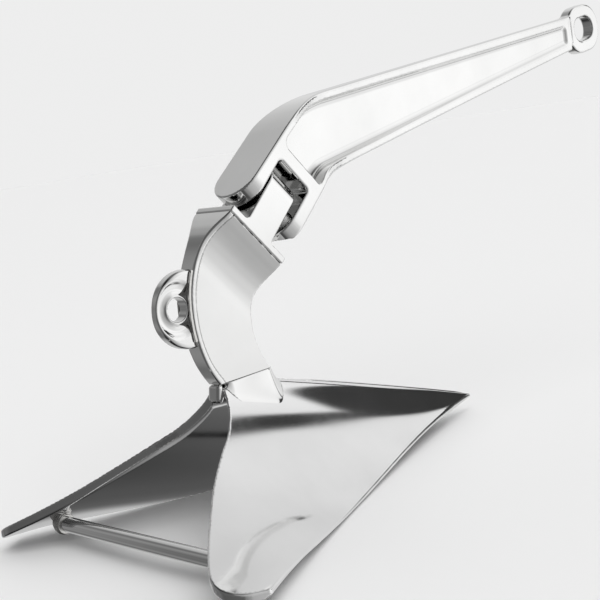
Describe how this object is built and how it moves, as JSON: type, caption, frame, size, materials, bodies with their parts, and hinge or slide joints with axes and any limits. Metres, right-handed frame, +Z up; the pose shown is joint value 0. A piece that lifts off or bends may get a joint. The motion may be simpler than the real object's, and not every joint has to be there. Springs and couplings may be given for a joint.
{
  "type": "hinged plough anchor",
  "caption": "Hinged plough anchor: I-section shank with a shackle eye swings on a pin over a curved horn and two swept blades joined by a rear bar.",
  "frame": {"origin": "centre of the shackle slot at the end of the shank, on the mid-plane", "axes": "+X from the rear corners of the blades towards the toe, +Y across the anchor to its left blade, +Z up with the toe and the rear corners of the blades level"},
  "size_m": [0.9213, 0.3672, 0.465],
  "materials": {
    "polished_steel": "mirror-polished 316 stainless steel",
    "brushed_pin_steel": "machined stainless steel",
    "dressed_weld": "ground and polished weld"
  },
  "bodies": {
    "shank": {"shank_casting": "polished_steel", "hinge_pin": "brushed_pin_steel", "pin_end_weld": "dressed_weld"},
    "plough": {"hinge_tongue": "polished_steel", "horn_web": "polished_steel", "horn_back_flange": "polished_steel", "horn_foot_weld": "dressed_weld", "trip_line_lug": "polished_steel", "lug_weld": "dressed_weld", "blade_left": "polished_steel", "blade_right": "polished_steel", "ridge_weld": "dressed_weld", "toe_weight": "brushed_pin_steel", "cross_bar": "polished_steel", "cross_bar_welds": "dressed_weld", "heel_gusset": "dressed_weld"}
  },
  "joints": [
    {"name": "shank_hinge", "type": "hinge", "parent": "shank", "child": "plough", "pos_m": [-0.6191, 0, -0.1459], "axis": [-0.6626, 0, 0.749], "range_deg": [-98, 98]}
  ]
}
